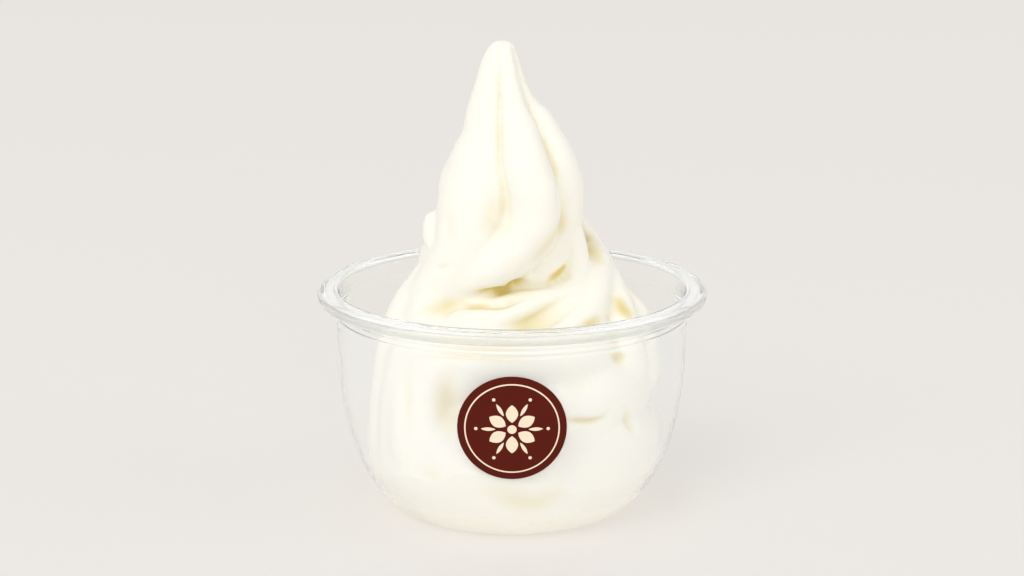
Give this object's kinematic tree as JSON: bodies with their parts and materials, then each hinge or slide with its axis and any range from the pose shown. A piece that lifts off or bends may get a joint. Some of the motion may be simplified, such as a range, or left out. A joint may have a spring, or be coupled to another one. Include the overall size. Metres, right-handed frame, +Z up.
{
  "type": "soft serve cup",
  "caption": "Swirl of vanilla soft serve piped high above the rim of a clear round dessert cup with a rolled rim and a small round label on its front.",
  "frame": {"origin": "middle of the cup's flat underside", "axes": "+Z up along the cup's axis; -Y is the front, where the label is; +X is to the right as seen from the front"},
  "size_m": [0.098, 0.098, 0.1191],
  "materials": {
    "clear_plastic": "clear, glossy, slightly hazy thermoformed plastic",
    "cream": "pale vanilla cream, smooth, soft sheen, slightly translucent",
    "label_paper": "dark maroon satin sticker with a pale peach print"
  },
  "bodies": {
    "root": {"cup": "clear_plastic", "soft_serve": "cream", "label": "label_paper"}
  },
  "joints": []
}
